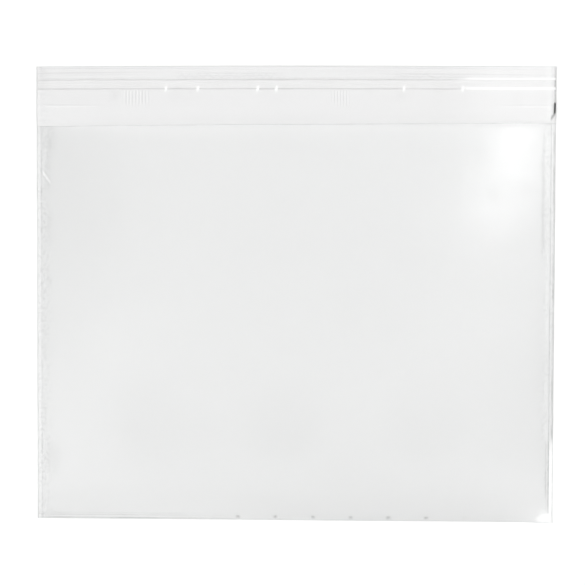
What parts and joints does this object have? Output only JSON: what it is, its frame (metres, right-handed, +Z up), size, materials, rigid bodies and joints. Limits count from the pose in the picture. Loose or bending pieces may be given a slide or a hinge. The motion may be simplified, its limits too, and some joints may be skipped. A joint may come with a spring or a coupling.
{
  "type": "biodegradable self-seal bag",
  "caption": "Flat see-through film bag, folded at the bottom and welded down both sides, with a self-seal lip: adhesive stripe under a release liner.",
  "frame": {"origin": "on the surface that the bag lies on, under the middle of its length and width", "axes": "+X across the bag along the mouth, +Y from the bottom fold to the lip's edge, +Z up from the back panel through the front panel"},
  "size_m": [0.333, 0.292, 0.0081],
  "materials": {
    "film": "clear compostable film, glossy, with faint waviness",
    "adhesive": "clear pressure-sensitive adhesive, faintly warm",
    "liner": "clear release film, glossy"
  },
  "bodies": {
    "root": {"bag_film": "film", "adhesive_strip": "adhesive", "release_liner": "liner"}
  },
  "joints": []
}
